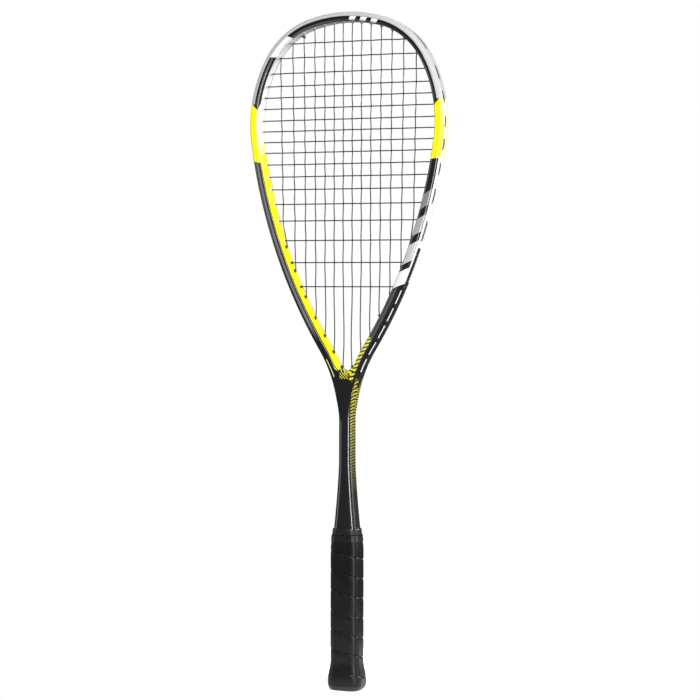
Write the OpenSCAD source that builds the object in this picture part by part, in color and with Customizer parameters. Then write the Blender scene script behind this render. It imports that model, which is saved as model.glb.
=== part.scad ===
// Squash racket with a teardrop head, a closed V throat, one continuous string and a wrapped grip.
// The racket stands on its butt. +Z runs from the butt to the tip of the head, X runs across the
// head and Y runs through its thickness. The strings lie in the plane Y = 0.

/* [Head outline] */
// Overall length from the butt to the tip of the head
racket_len = 686; // [640:1:830]
// Outer radius of the crown arc at the tip
crown_r = 139.2; // [125:0.1:170]
// Direction of the outline where the crown arc ends, in degrees from straight across
crown_end = 16.5; // [12:0.5:20]
// Outer radius of the shoulder arcs
shoulder_r = 81.5; // [75:0.1:98]
// Direction of the outline where a shoulder arc ends
shoulder_end = 62; // [56:0.5:66]
// Outer radius of the arcs at the widest place
side_r = 141.7; // [118:0.1:170]
// Direction of the outline where a side arc ends
side_end = 98; // [94:0.5:101]
// Outer radius of the long arcs that run down to the throat
throat_r = 541; // [470:1:650]
// Radius of the reverse curve from the throat into the shaft
yoke_r = 138; // [115:1:166]

/* [Frame tube] */
// Width of the tube, seen from the front
beam_w = 9.5; // [8:0.1:11.4]
// Depth of the tube, front to back
beam_d = 20.5; // [17:0.1:25]
// Radius of the tube's four edges
beam_r = 4; // [2.5:0.1:4.5]
// Thickness of the moulded wall
wall = 1.2; // [1:0.1:1.5]
// Radius of the crotch between the two sides of the throat
crotch_r = 11; // [9:0.5:12]

/* [Shaft] */
// Width of the shaft at its narrowest
shaft_w = 14.6; // [12:0.1:18]
// Depth of the shaft
shaft_d = 18.5; // [15:0.1:20]
// Radius of the shaft's edges
shaft_r = 6.5; // [4:0.1:7]
// Height where the shaft begins to flare towards the handle
flare_top = 232; // [200:1:240]

/* [Handle] */
// Height of the top of the handle foam
handle_len = 160; // [134:1:192]
// Width of the handle foam
pallet_w = 28.2; // [26:0.1:34]
// Depth of the handle foam
pallet_d = 23.2; // [21.5:0.1:28]
// Radius of the handle's edges
pallet_r = 7.5; // [5:0.1:9]
// Width of the frame tube inside the handle
core_w = 22; // [18:0.1:23]
// Depth of the frame tube inside the handle
core_d = 17; // [14:0.1:18]
// How much narrower the handle is at its top, on each side
top_taper = 1.2; // [0:0.1:1.5]
// Thickness of the grip wrap
grip_t = 1.4; // [1:0.1:2.2]
// Height of the butt cap's cup
cap_h = 26; // [22:1:32]
// Thickness of the butt cap's wall where it meets the handle foam
cap_t = 1.3; // [1:0.1:1.6]
// How far the butt swells beyond the handle on each side
butt_swell = 2.8; // [2:0.1:4]
// Height of the cap's lip below the grip
lip_h = 5; // [4:0.5:7]

/* [Strings] */
// Diameter of the string
string_d = 1.25; // [1.05:0.05:1.5]
// Spacing of the middle main strings
main_pitch = 9.8; // [8.2:0.1:10.5]
// How much wider the outer main strings are spaced, per cube of their number
main_spread = 0.032; // [0:0.001:0.04]
// How much the main strings fan out towards the tip, per 100 mm and string
main_fan = 0.004; // [0:0.001:0.006]
// How far the outermost main string is tucked in, where it passes its last cross string
outer_tuck = 2.7; // [2:0.1:3.4]
// Distance from the tip of the head to the first cross string
first_cross = 29; // [27:0.5:32]
// Spacing of the cross strings, from the tip downwards
cross_gaps = [14.5, 15.5, 13, 11.5, 11.5, 12, 11, 11, 11, 12, 12.5, 13, 15, 17, 20, 22.5, 24.5];

/* [Grommets] */
// Gap between two strings that pass each other in the channel
lane_gap = 0.15; // [0.1:0.05:0.25]
// Depth of the string channel below the outline
channel_d = 1.5; // [1.3:0.1:1.6]
// Thickness of the grommet strips and of the bumper
strip_t = 0.8; // [0.6:0.1:1]
// Outer diameter of a grommet barrel
barrel_d = 3; // [2.8:0.1:3.4]
// Inner diameter of a grommet barrel
barrel_bore = 2; // [1.8:0.1:2.2]
// How far a barrel stands out inside the head
barrel_out = 1.4; // [0.8:0.1:2]
// How far the bumper reaches over the front of the tube
bumper_reach = 4.6; // [3.5:0.1:5]
// Direction of the outline where the bumper ends
bumper_end = 81; // [79:0.5:82]

/* [Hidden] */

// Clearances: moulded parts against the frame, and lofted parts against each other.
fit_gap = 0.08;
loft_gap = 0.1;
edge_steps = 5;
arc_fn = 240;
round_fn = 32;

// ---- Outline of the head: tangent arcs, each given by its centre in X and Z ----
radii = [crown_r, shoulder_r, side_r, throat_r];
ends = [crown_end, shoulder_end, side_end];
function unit_at(a) = [sin(a), cos(a)];
crown_c = [0, racket_len - crown_r];
shoulder_c = crown_c + (crown_r - shoulder_r) * unit_at(crown_end);
side_c = shoulder_c + (shoulder_r - side_r) * unit_at(shoulder_end);
throat_c = side_c + (side_r - throat_r) * unit_at(side_end);
centres = [crown_c, shoulder_c, side_c, throat_c];
// The throat arc stops where the reverse curve can bring it tangent to the shaft.
throat_end = 180 - asin((shaft_w / 2 - throat_c.x + yoke_r) / (throat_r + yoke_r));
yoke_c = throat_c + (throat_r + yoke_r) * unit_at(throat_end);
shaft_top = yoke_c.y;
// A station s along the outline is its direction, which turns back after the throat arc.
yoke_end = 2 * throat_end - 90;
function turn(s) = s <= throat_end ? s : 2 * throat_end - s;
function normal(s) = unit_at(turn(s));
function arc_no(s) = s < ends[0] ? 0 : s < ends[1] ? 1 : s < ends[2] ? 2 : 3;
function on_throat(s, n) = throat_c + (throat_r + n) * normal(s);
function on_yoke(s, n) = yoke_c - (yoke_r - n) * normal(s);
// Point at station s, a distance n outside the outline.
function at(s, n) =
    s > throat_end ? on_yoke(s, n) : centres[arc_no(s)] + (radii[arc_no(s)] + n) * normal(s);
function radius_at(s) = s > throat_end ? yoke_r : radii[arc_no(s)];
// The station a distance mm further along the outline.
function along(s, mm) = s + mm / radius_at(s) * 180 / PI;
// The station between lo and hi where the rising function f passes through zero.
function seek(f, lo, hi, n = 30) =
    let (mid = (lo + hi) / 2)
    n == 0 ? mid : f(mid) > 0 ? seek(f, lo, mid, n - 1) : seek(f, mid, hi, n - 1);

// ---- Crotch: a circle tangent to both inner sides ----
crotch_s = seek(function (s) -at(s, -beam_w - crotch_r).x, side_end, yoke_end);
crotch_z = at(crotch_s, -beam_w - crotch_r).y;
// The string ends follow the throat arc as it would run on past its end.
steepest = 150;
function at_in(s, n) = s > side_end ? throat_c + (throat_r + n) * unit_at(s) : at(s, n);

// ---- String pattern ----
string_r = string_d / 2;
// Lanes in the channel: main loops, cross loops, and the long run that passes the others.
cross_lane = string_d + lane_gap;
main_lane = -cross_lane;
long_lane = 2 * cross_lane;
// The string's lift above the floor of its channel.
string_lift = 0.05;
string_n = -channel_d + string_r + string_lift;
tip_n = -beam_w - barrel_out;
crosses = len(cross_gaps) + 1;
// Main strings on each side of the middle. The one-piece route needs an odd number.
mains = 7;
// The height where the middle main strings have their plain spacing.
fan_z = racket_len - 126;
function sum_to(list, n) = n == 0 ? 0 : list[n - 1] + sum_to(list, n - 1);
function cross_z(k) = racket_len - first_cross - sum_to(cross_gaps, k - 1);
function main_u(i) = i - 0.5;
// Crosses between which the outermost main starts to bend inwards.
tuck_from = 15;
tuck_to = 16;
// A wider tube brings the inner wall in by this much more than it grows, so the bend follows it.
tuck_share = 1.3;
tuck_tube = 9.5;
tuck_x = outer_tuck + tuck_share * (beam_w - tuck_tube);
function tuck(i, z) = i < mains ? 0
    : tuck_x * max(0, (cross_z(tuck_from) - z) / (cross_z(tuck_from) - cross_z(tuck_to)));
function main_x(i, z) =
    let (u = main_u(i))
    (main_pitch * u + main_spread * pow(u, 3)) * (1 + main_fan * u * (z - fan_z) / 100) - tuck(i, z);
function unit2(v) = v / norm(v);
function wedge(a, b) = a.x * b.y - a.y * b.x;
// A string end: the barrel's tip, the barrel's direction, its outer station and its outer point.
function string_end(s, pull) =
    let (
        tip = at_in(s, tip_n),
        d = unit2(unit_at(s) + pull),
        out = seek(function (q) wedge(at(q, string_n) - tip, d), max(s - 12, 0.1), min(s + 16, yoke_end))
    )
    [tip, d, out, at(out, string_n)];
main_top = [for (i = [1:mains])
    string_end(seek(function (s) at(s, tip_n).x - main_x(i, at(s, tip_n).y), 0, 80), [0, 1])];
main_low = [for (i = [1:mains])
    string_end(seek(function (s) main_x(i, at_in(s, tip_n).y) - at_in(s, tip_n).x, side_end, steepest), [0, -1])];
cross_end = [for (k = [1:crosses])
    string_end(seek(function (s) cross_z(k) - at(s, tip_n).y, 10, throat_end), [1, 0])];
// Tie-off holes: beside the fifth main at the top left and the fourth main at the bottom right.
top_tie_main = 5;
low_tie_main = 4;
tie_offset = 5.5;
function tie_end(s) = string_end(s, normal(s));
top_tie = tie_end(along(main_top[top_tie_main - 1][2], tie_offset));
low_tie = tie_end(along(main_low[low_tie_main - 1][2], -tie_offset));
// Crosses whose ends pass through the bumper, and those that pass through the side strips.
bumper_crosses = 5;
side_crosses = 16;

// ---- Solids that follow the outline ----
// Neighbouring arcs stop short of their joint, and a short band, a hair larger, bridges it.
seam_grow = 0.02;
seam_half = 0.8;
seam_gap = 0.2;
joints = concat(ends, [throat_end]);

// Sweeps a profile, drawn with x outward from the outline and y through the depth.
module sweep_arc(centre, r, from, to) {
    translate([centre.x, 0, centre.y])
        rotate([90, 0, 0])
            rotate([0, 0, 90 - to])
                rotate_extrude(angle = to - from, $fn = arc_fn)
                    translate([r, 0])
                        children();
}

module sweep_yoke(from, to) {
    translate([yoke_c.x, 0, yoke_c.y])
        rotate([90, 0, 0])
            rotate([0, 0, 270 - turn(from)])
                rotate_extrude(angle = to - from, $fn = arc_fn)
                    translate([yoke_r, 0])
                        mirror([1, 0])
                            children();
}

function shift(i, s, mm) = s + mm / radii[i] * 180 / PI;

module seam_band(i) {
    sweep_arc(centres[i], radii[i], shift(i, joints[i], -seam_half), shift(i, joints[i], seam_half))
        children();
}

// One side of the head from station a to station b. The second child is the bands' profile.
module sweep_side(a, b) {
    starts = concat([0], ends);
    for (i = [0:3]) {
        lo = a > starts[i] ? a : shift(i, starts[i], seam_gap);
        hi = b < joints[i] ? b : shift(i, joints[i], -seam_gap);
        if (hi > lo)
            sweep_arc(centres[i], radii[i], lo, hi)
                children(0);
        if (joints[i] > a && joints[i] < b)
            seam_band(i)
                children(1);
    }
    if (b > throat_end)
        sweep_yoke(max(a, along(throat_end + 0.01, seam_gap)), b)
            children(0);
}

// Both sides from the tip down to station b.
module sweep_crown(b) {
    half = shift(0, crown_end, -seam_gap);
    sweep_arc(crown_c, crown_r, -half, half)
        children(0);
    for (side = [0, 1])
        mirror([side, 0, 0])
            sweep_side(half, b) {
                children(0);
                children(1);
            }
}

// ---- Profiles ----
function corner(cx, cy, r, a0) = [for (i = [0:edge_steps])
    [cx + r * cos(a0 + 90 * i / edge_steps), cy + r * sin(a0 + 90 * i / edge_steps)]];
function rounded(hx, hy, r) = concat(corner(hx - r, hy - r, r, 0), corner(r - hx, hy - r, r, 90),
    corner(r - hx, r - hy, r, 180), corner(hx - r, r - hy, r, 270));

// The tube's outline, made smaller all round by inset.
module tube_profile(inset = 0) {
    translate([-beam_w / 2, 0])
        polygon(rounded(beam_w / 2 - inset, beam_d / 2 - inset, beam_r - inset));
}

// The channel is wide enough for the outermost lane on either side.
channel_side = 0.075;
channel_w = 2 * (long_lane + string_r + channel_side);
groove_depth = channel_d + strip_t;
groove_half = channel_w / 2 + strip_t;
cavity_w = beam_w - groove_depth - 2 * wall;
cavity_d = beam_d - 2 * wall - 0.8;

module cavity_profile(grow) {
    translate([-beam_w + wall + grow, -cavity_d / 2 + grow])
        square([cavity_w - 2 * grow, cavity_d - 2 * grow]);
}

module groove_profile(gap) {
    translate([-groove_depth - gap, -groove_half - gap])
        square([groove_depth + beam_w, 2 * (groove_half + gap)]);
}

// The band around the outer part of the tube that the bumper fills.
module bumper_band(inset, gap = 0) {
    difference() {
        translate([-bumper_reach - gap, -beam_d])
            square([bumper_reach + beam_w, 2 * beam_d]);
        tube_profile(inset);
    }
}

module frame_profile(bumper, grow = 0) {
    difference() {
        tube_profile(-grow);
        groove_profile(fit_gap - grow);
        cavity_profile(grow);
        if (bumper)
            bumper_band(strip_t + fit_gap - grow, fit_gap - grow);
    }
}

module grooved_profile() {
    difference() {
        tube_profile();
        groove_profile(fit_gap);
    }
}

module strip_block_profile(grow = 0) {
    translate([-groove_depth - grow, -groove_half - grow])
        square([groove_depth - 0.1 + 2 * grow, 2 * (groove_half + grow)]);
}

module bumper_block_profile(grow = 0) {
    intersection() {
        tube_profile(-grow);
        bumper_band(strip_t + grow);
    }
    strip_block_profile(grow);
}

module channel_profile(grow = 0) {
    translate([-channel_d - grow, -channel_w / 2 - grow])
        square([channel_d + beam_w, channel_w + 2 * grow]);
}

// ---- Holes and barrels ----
// A rod along a string end, from before its tip to past its outer point.
module end_rod(e, r, before, past) {
    length = norm(e[3] - e[0]) + before + past;
    start = e[0] - before * e[1];
    translate([start.x, 0, start.y])
        rotate([0, atan2(e[1].x, e[1].y), 0])
            cylinder(h = length, r = r, $fn = round_fn);
}

module end_rods(list, r, before, past) {
    for (e = list)
        end_rod(e, r, before, past);
}

function part_of(list, a, b) = [for (i = [a:b]) list[i - 1]];
bumper_ends = concat(main_top, part_of(cross_end, 1, bumper_crosses));
side_ends = part_of(cross_end, bumper_crosses + 1, side_crosses);
throat_ends = concat(main_low, part_of(cross_end, side_crosses + 1, crosses));
side_strip_end = (cross_end[side_crosses - 1][2] + min(main_low[mains - 1][2], cross_end[side_crosses][2])) / 2;
strip_stop = along(main_low[0][2], 4);
groove_stop = strip_stop + 1;

module barrels(list) {
    end_rods(list, barrel_d / 2, 0, 0.5);
}

module bores(list) {
    end_rods(list, barrel_bore / 2, 1, 4);
}

// ---- Lofts through rings of points ----
module loft(rings) {
    n = len(rings[0]);
    last = len(rings) - 1;
    sides = [for (j = [0:last - 1], i = [0:n - 1])
        let (a = j * n + i, b = j * n + (i + 1) % n)
        each [[a, a + n, b + n], [a, b + n, b]]];
    caps = [[for (i = [0:n - 1]) i], [for (i = [n - 1:-1:0]) last * n + i]];
    polyhedron(points = [for (r = rings) each r], faces = concat(sides, caps));
}

function ring(z, hx, hy, r) = [for (p = rounded(hx, hy, r)) [p.x, p.y, z]];
function mix(a, b, t) = a + (b - a) * t;
function ease(t) = let (c = min(max(t, 0), 1)) c * c * (3 - 2 * c);

// ---- Shaft: half width, half depth and edge radius at a height ----
flare_ease = 1.35;
flare_over = 0.2;
flare_w = pallet_w - 2 * top_taper + 2 * flare_over;
flare_d = pallet_d - 2 * top_taper + 2 * flare_over;
// The loft stands this much proud of the two tubes where it wraps their joint.
wrap = 0.12;
joint_low = shaft_top + 28;
function flare_t(z) = pow(max(flare_top - z, 0) / (flare_top - handle_len), flare_ease);
function joint_t(z) = ease((z - shaft_top) / (joint_low - shaft_top));
function shaft_hx(z) = z > shaft_top
    ? shaft_w / 2 + yoke_r - sqrt(pow(yoke_r, 2) - pow(z - shaft_top, 2)) + wrap * joint_t(z)
    : mix(shaft_w, flare_w, flare_t(z)) / 2;
function shaft_hy(z) = z > shaft_top
    ? mix(shaft_d / 2, beam_d / 2 + wrap, joint_t(z))
    : mix(shaft_d, flare_d, flare_t(z)) / 2;
function shaft_er(z) = z > shaft_top
    ? mix(shaft_r, beam_r + wrap, joint_t(z))
    : mix(shaft_r, pallet_r, flare_t(z));
function steps(a, b, n) = [for (i = [0:n]) mix(a, b, i / n)];
flare_z = steps(handle_len, flare_top, 8);
// The loft stops a little below the points where the crotch touches the inner sides.
crotch_drop = 1;
joint_z = steps(shaft_top, at(crotch_s, -beam_w).y - crotch_drop, 10);
function shaft_ring(z, inset) =
    ring(z, shaft_hx(z) - inset, shaft_hy(z) - inset, shaft_er(z) - inset * 0.7);

module shaft_skin(inset = 0) {
    loft([for (z = concat(flare_z, joint_z)) shaft_ring(z, inset)]);
}

// Handle core: a plain tube below the flare.
core_foot = 6;
core_r = 5;

module block(z0, z1, hx, hy, r) {
    translate([0, 0, z0])
        linear_extrude(height = z1 - z0)
            polygon(rounded(hx, hy, r));
}

module frame_shell() {
    sweep_crown(shift(2, bumper_end, seam_gap)) {
        frame_profile(true);
        frame_profile(true, seam_grow);
    }
    for (side = [0, 1])
        mirror([side, 0, 0]) {
            sweep_arc(side_c, side_r, bumper_end, shift(2, bumper_end, seam_half))
                frame_profile(false, seam_grow);
            sweep_side(shift(2, bumper_end, 2 * seam_gap), throat_end) {
                frame_profile(false);
                frame_profile(false, seam_grow);
            }
            seam_band(3)
                frame_profile(false, seam_grow);
            sweep_yoke(along(throat_end + 0.01, seam_gap), yoke_stop)
                grooved_profile();
        }
    shaft_skin();
    block(core_foot, handle_len + 1, core_w / 2, core_d / 2, core_r);
}

// The tubes run on inside the wrapped joint and stop where it starts to narrow.
yoke_stop = 2 * throat_end - 90 - asin((joint_low - shaft_top) / yoke_r);
// The shaft's hollow ends below the lowest string hole.
hollow_top = main_low[0][3].y - 14;
hollow_z = concat(steps(handle_len + 4, flare_top, 4), steps(shaft_top, hollow_top, 3));

module frame() {
    color([0.06, 0.06, 0.07])
        difference() {
            frame_shell();
            translate([0, beam_d, crotch_z])
                rotate([90, 0, 0])
                    cylinder(h = 2 * beam_d, r = crotch_r, $fn = 64);
            loft([for (z = hollow_z) shaft_ring(z, wall + 0.4)]);
            block(core_foot - 1, handle_len + 5, core_w / 2 - wall, core_d / 2 - wall, core_r - wall);
            for (side = [0, 1])
                mirror([side, 0, 0])
                    sweep_yoke(along(throat_end + 0.01, 2), groove_stop)
                        groove_profile(fit_gap + seam_grow);
            for (side = [0, 1])
                mirror([side, 0, 0])
                    end_rods(concat(bumper_ends, side_ends, throat_ends), barrel_d / 2 + 0.1, 6, 4);
            mirror([1, 0, 0])
                end_rod(top_tie, barrel_d / 2 + 0.1, 6, 4);
            end_rod(low_tie, barrel_d / 2 + 0.1, 6, 4);
        }
}

module bumper_guard() {
    color([0.72, 0.73, 0.75])
        difference() {
            union() {
                sweep_crown(bumper_end - 0.1) {
                    bumper_block_profile();
                    bumper_block_profile(seam_grow);
                }
                for (side = [0, 1])
                    mirror([side, 0, 0])
                        barrels(bumper_ends);
                mirror([1, 0, 0])
                    end_rod(top_tie, barrel_d / 2, 0, 0.5);
            }
            sweep_crown(bumper_end + 1) {
                channel_profile();
                channel_profile(seam_grow);
            }
            for (side = [0, 1])
                mirror([side, 0, 0])
                    bores(bumper_ends);
            mirror([1, 0, 0])
                end_rod(top_tie, barrel_bore / 2, 1, 4);
        }
}

// A strip along one side from station a to station b, with a barrel for each end in the list.
module grommet_strip(a, b, list) {
    difference() {
        union() {
            sweep_side(a, b) {
                strip_block_profile();
                strip_block_profile(seam_grow);
            }
            barrels(list);
        }
        sweep_side(a - 1, b + 1) {
            channel_profile();
            channel_profile(seam_grow);
        }
        bores(list);
    }
}

module side_strip_right() {
    color([0.85, 0.85, 0.84])
        grommet_strip(bumper_end + 0.1, side_strip_end - 0.02, side_ends);
}

module side_strip_left() {
    color([0.85, 0.85, 0.84])
        mirror([1, 0, 0])
            grommet_strip(bumper_end + 0.1, side_strip_end - 0.02, side_ends);
}

module throat_strip_right() {
    color([0.1, 0.1, 0.1])
        grommet_strip(side_strip_end + 0.02, strip_stop, concat(throat_ends, [low_tie]));
}

module throat_strip_left() {
    color([0.1, 0.1, 0.1])
        mirror([1, 0, 0])
            grommet_strip(side_strip_end + 0.02, strip_stop, throat_ends);
}

// ---- String route ----
string_sides = 6;
weave = string_r;
// Room that a string needs to cross another before the next barrel.
meet_gap = 0.8;
function put(p, side, y = 0) = [side * p.x, y, p.y];
function columns_meet(i, k) =
    cross_z(k) < main_top[i - 1][0].y - meet_gap && cross_z(k) > main_low[i - 1][0].y + meet_gap
    && main_x(i, cross_z(k)) < cross_end[k - 1][0].x - meet_gap;
function over(i, side, k) = ((side > 0 ? i - 1 : mains + i) + k) % 2 == 0 ? 1 : -1;
function crossing(i, side, k, sign) = [side * main_x(i, cross_z(k)), sign * weave * over(i, side, k), cross_z(k)];
// Main string i, from its low end to its top end.
function main_run(i, side) = concat([put(main_low[i - 1][0], side)],
    [for (k = [crosses:-1:1]) if (columns_meet(i, k)) crossing(i, side, k, 1)],
    [put(main_top[i - 1][0], side)]);
// Cross string k, from its left end to its right end.
function cross_run(k) = concat([put(cross_end[k - 1][0], -1)],
    [for (i = [mains:-1:1]) if (columns_meet(i, k)) crossing(i, -1, k, -1)],
    [for (i = [1:mains]) if (columns_meet(i, k)) crossing(i, 1, k, -1)],
    [put(cross_end[k - 1][0], 1)]);
function reversed(list) = [for (i = [len(list) - 1:-1:0]) list[i]];
// The last stretch in a barrel, just before the bend into the channel.
function mouth(e, side) = put(e[3] - 0.55 * e[1], side);
// The loop in the channel from one string end to another.
turn_mm = [0.7, 2, 3.6];
lane_run = 3.4;
lane_step = 5;
function lane_y(t, lane) = lane * ease(t / lane_run);
// A loop that changes lanes does it in the middle third of its length.
function lane_at(t, lane_a, lane_b) = mix(lane_a, lane_b, ease(3 * t - 1));
function loop_points(sa, sb, side, lane_a, lane_b) =
    let (
        len_mm = abs(sb - sa) * radius_at((sa + sb) / 2) * PI / 180,
        middle = len_mm - 2 * turn_mm[2],
        inner = max(1, floor(middle / lane_step)),
        marks = concat(turn_mm, [for (j = [1:inner]) turn_mm[2] + middle * j / (inner + 1)],
            [for (j = [2:-1:0]) len_mm - turn_mm[j]])
    )
    [for (m = marks)
        let (p = at(mix(sa, sb, m / len_mm), string_n))
        put(p, side, lane_y(min(m, len_mm - m), lane_at(m / len_mm, lane_a, lane_b)))];
function loop(a, b, side, lane_a, lane_b) =
    concat([mouth(a, side)], loop_points(a[2], b[2], side, lane_a, lane_b), [mouth(b, side)]);
// The loop over the tip that joins the two middle mains.
function crown_loop(e) =
    let (reach = e[2] * crown_r * PI / 180)
    concat([mouth(e, 1)],
        [for (m = [turn_mm[0], turn_mm[1], reach]) put(at(mix(e[2], 0, m / reach), string_n), 1, lane_y(m, main_lane))],
        [for (m = [turn_mm[1], turn_mm[0]]) put(at(mix(e[2], 0, m / reach), string_n), -1, lane_y(m, main_lane))],
        [mouth(e, -1)]);
// Where each tail meets its knot, beside the string that the knot grips.
knot_r = 1.7;
low_knot_seg = [put(main_low[low_tie_main - 1][0], 1), main_run(low_tie_main, 1)[1]];
top_knot_seg = [put(main_top[top_tie_main - 1][0], -1), reversed(main_run(top_tie_main, -1))[1]];
function seg_point(seg, mm) = seg[0] + mm * (seg[1] - seg[0]) / norm(seg[1] - seg[0]);
knot_mm = 2.2;
low_knot = seg_point(low_knot_seg, knot_mm);
top_knot = seg_point(top_knot_seg, knot_mm);
function tail_stop(tip, knot) = knot + (knot_r + 0.08) * (tip - knot) / norm(tip - knot);

// The mains from the right edge to the left edge: odd ones run upwards on the right.
function mains_right() = [for (i = [mains:-1:1])
    each concat(i % 2 == 1 ? main_run(i, 1) : reversed(main_run(i, 1)),
        i == 1 ? [] : i % 2 == 1 ? loop(main_top[i - 1], main_top[i - 2], 1, main_lane, main_lane)
        : loop(main_low[i - 1], main_low[i - 2], 1, main_lane, main_lane))];
function mains_left() = [for (i = [1:mains])
    each concat(i % 2 == 0 ? main_run(i, -1) : reversed(main_run(i, -1)),
        i == mains ? [] : i % 2 == 0 ? loop(main_top[i - 1], main_top[i], -1, main_lane, main_lane)
        : loop(main_low[i - 1], main_low[i], -1, main_lane, main_lane))];
// The crosses from the throat to the tip: even ones run from left to right.
function all_crosses() = [for (k = [crosses:-1:1])
    each concat(k % 2 == 0 ? cross_run(k) : reversed(cross_run(k)),
        k == 1 ? [] : loop(cross_end[k - 1], cross_end[k - 2], k % 2 == 0 ? 1 : -1, cross_lane, cross_lane))];
low_tie_tip = put(low_tie[0], 1);
top_tie_tip = put(top_tie[0], -1);
route = concat(
    [tail_stop(low_tie_tip, low_knot), low_tie_tip],
    loop(low_tie, main_low[mains - 1], 1, long_lane, long_lane),
    mains_right(),
    crown_loop(main_top[0]),
    mains_left(),
    loop(main_low[mains - 1], cross_end[crosses - 1], -1, main_lane, cross_lane),
    all_crosses(),
    loop(cross_end[0], top_tie, -1, cross_lane, cross_lane),
    [top_tie_tip, tail_stop(top_tie_tip, top_knot)]);

function unit3(v) = v / norm(v);
function tangent(p, j) =
    j == 0 ? unit3(p[1] - p[0])
    : j == len(p) - 1 ? unit3(p[j] - p[j - 1])
    : unit3(unit3(p[j] - p[j - 1]) + unit3(p[j + 1] - p[j]));
function string_ring(p, j) =
    let (
        t = tangent(p, j),
        side = unit3(cross(t, [0, 1, 0])),
        up = cross(side, t)
    )
    [for (i = [0:string_sides - 1])
        p[j] + string_r * (cos(360 * i / string_sides) * side - sin(360 * i / string_sides) * up)];

module string() {
    color([0.12, 0.12, 0.13])
        loft([for (j = [0:len(route) - 1]) string_ring(route, j)]);
}

// A knot is two turns around the string that it grips.
module knot(centre, dir) {
    turn_r = (knot_r - string_r - 0.12) / 2;
    flat = norm([dir.x, dir.y]);
    translate(centre)
        rotate([0, 0, atan2(dir.y, dir.x)])
            rotate([0, atan2(flat, dir.z), 0])
                for (lift = [-turn_r * 0.9, turn_r * 0.9])
                    translate([0, 0, lift])
                        rotate_extrude($fn = round_fn)
                            translate([knot_r - turn_r, 0])
                                circle(r = turn_r, $fn = 16);
}

module string_knots() {
    color([0.12, 0.12, 0.13]) {
        knot(low_knot, low_knot_seg[1] - low_knot_seg[0]);
        knot(top_knot, top_knot_seg[1] - top_knot_seg[0]);
    }
}

// ---- Handle ----
spigot_w = pallet_w - 2 * cap_t;
spigot_d = pallet_d - 2 * cap_t;
spigot_r = pallet_r - cap_t;
cap_floor = 3;
swell_z = 9;
swell_top = 30;
// Half width beyond the handle foam at a height: the butt's swelling, fading out upwards.
function swell(z) = butt_swell * (1 - ease((z - swell_z) / (swell_top - swell_z)));
// The handle narrows towards its top.
taper_len = 18;
function taper(z) = top_taper * ease((z - handle_len + taper_len) / taper_len);
// Rounded underside of the butt.
function foot_round(z) = z >= swell_z ? 0 : 4.2 * (1 - sqrt(1 - pow(1 - z / swell_z, 2)));
function butt_ring(z, extra) =
    let (grow = swell(z) - foot_round(z) - taper(z) + extra)
    ring(z, pallet_w / 2 + grow, pallet_d / 2 + grow, pallet_r + grow * 0.6);
cap_low_z = [0, 0.6, 1.5, 3, lip_h];
swell_zs = steps(lip_h, swell_top, 7);
grip_top = handle_len - 2;
grip_zs = concat([for (z = swell_zs) if (z > lip_h) z], steps(handle_len - taper_len, grip_top, 4));

module end_plug() {
    color([0.85, 0.84, 0.8])
        block(core_foot + 0.5, core_foot + 12, core_w / 2 - wall - fit_gap, core_d / 2 - wall - fit_gap,
            core_r - wall);
}

module handle_pallet() {
    color([0.55, 0.5, 0.42])
        difference() {
            union() {
                loft([for (z = concat([cap_h + fit_gap], steps(handle_len - taper_len, handle_len - fit_gap, 4)))
                    ring(z, pallet_w / 2 - taper(z), pallet_d / 2 - taper(z), pallet_r - taper(z) * 0.6)]);
                block(cap_floor + 0.5, cap_h + 1, spigot_w / 2 - fit_gap, spigot_d / 2 - fit_gap, spigot_r);
            }
            block(-1, handle_len + 1, core_w / 2 + fit_gap, core_d / 2 + fit_gap, core_r);
            cap_staple_wires(fit_gap);
        }
}

module cap_outer() {
    loft([for (z = cap_low_z) butt_ring(z, grip_t)]);
    loft([for (z = concat([lip_h - 1], [for (z = swell_zs) if (z > lip_h && z < cap_h - 2) z], [cap_h]))
        butt_ring(z, 0)]);
}

badge_r = 7;
badge_t = 1.2;

module butt_cap() {
    color([0.07, 0.07, 0.07])
        difference() {
            cap_outer();
            block(cap_floor, cap_h + 5, spigot_w / 2, spigot_d / 2, spigot_r);
            translate([0, 0, -1])
                cylinder(h = 1 + badge_t + fit_gap, r = badge_r + fit_gap, $fn = 64);
            cap_staple_wires(fit_gap);
            grip_staple_wire(fit_gap);
        }
}

module butt_badge() {
    color([0.75, 0.75, 0.77])
        cylinder(h = badge_t, r = badge_r, $fn = 64);
}

// A staple with its crown along X at depth y, its legs pointing inward.
staple_wire = 0.9;
crown_t = 0.5;
module staple(y, z, crown, leg, gap) {
    translate([-crown / 2 - gap, y - crown_t - gap, z - staple_wire / 2 - gap])
        cube([crown + 2 * gap, crown_t + 2 * gap, staple_wire + 2 * gap]);
    for (x = [-crown / 2, crown / 2 - staple_wire])
        translate([x - gap, y - leg - gap, z - staple_wire / 2 - gap])
            cube([staple_wire + 2 * gap, leg + 2 * gap, staple_wire + 2 * gap]);
}

cap_staple_z = 20;
cap_staple_y = pallet_d / 2 + swell(cap_staple_z) - 0.15;
cap_leg = cap_staple_y - core_d / 2 - 0.5;
module cap_staple_wires(gap = 0) {
    for (side = [0, 1])
        mirror([0, side, 0])
            staple(cap_staple_y, cap_staple_z, 8, cap_leg, gap);
}

module cap_staples() {
    color([0.7, 0.7, 0.72])
        cap_staple_wires();
}

grip_staple_z = 11;
grip_staple_y = pallet_d / 2 + swell(grip_staple_z) + grip_t - 0.1;
grip_staple_leg = grip_t + 2.2;
module grip_staple_wire(gap = 0) {
    staple(grip_staple_y, grip_staple_z, 7, grip_staple_leg, gap);
}

module grip_staple() {
    color([0.7, 0.7, 0.72])
        grip_staple_wire();
}

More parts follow.
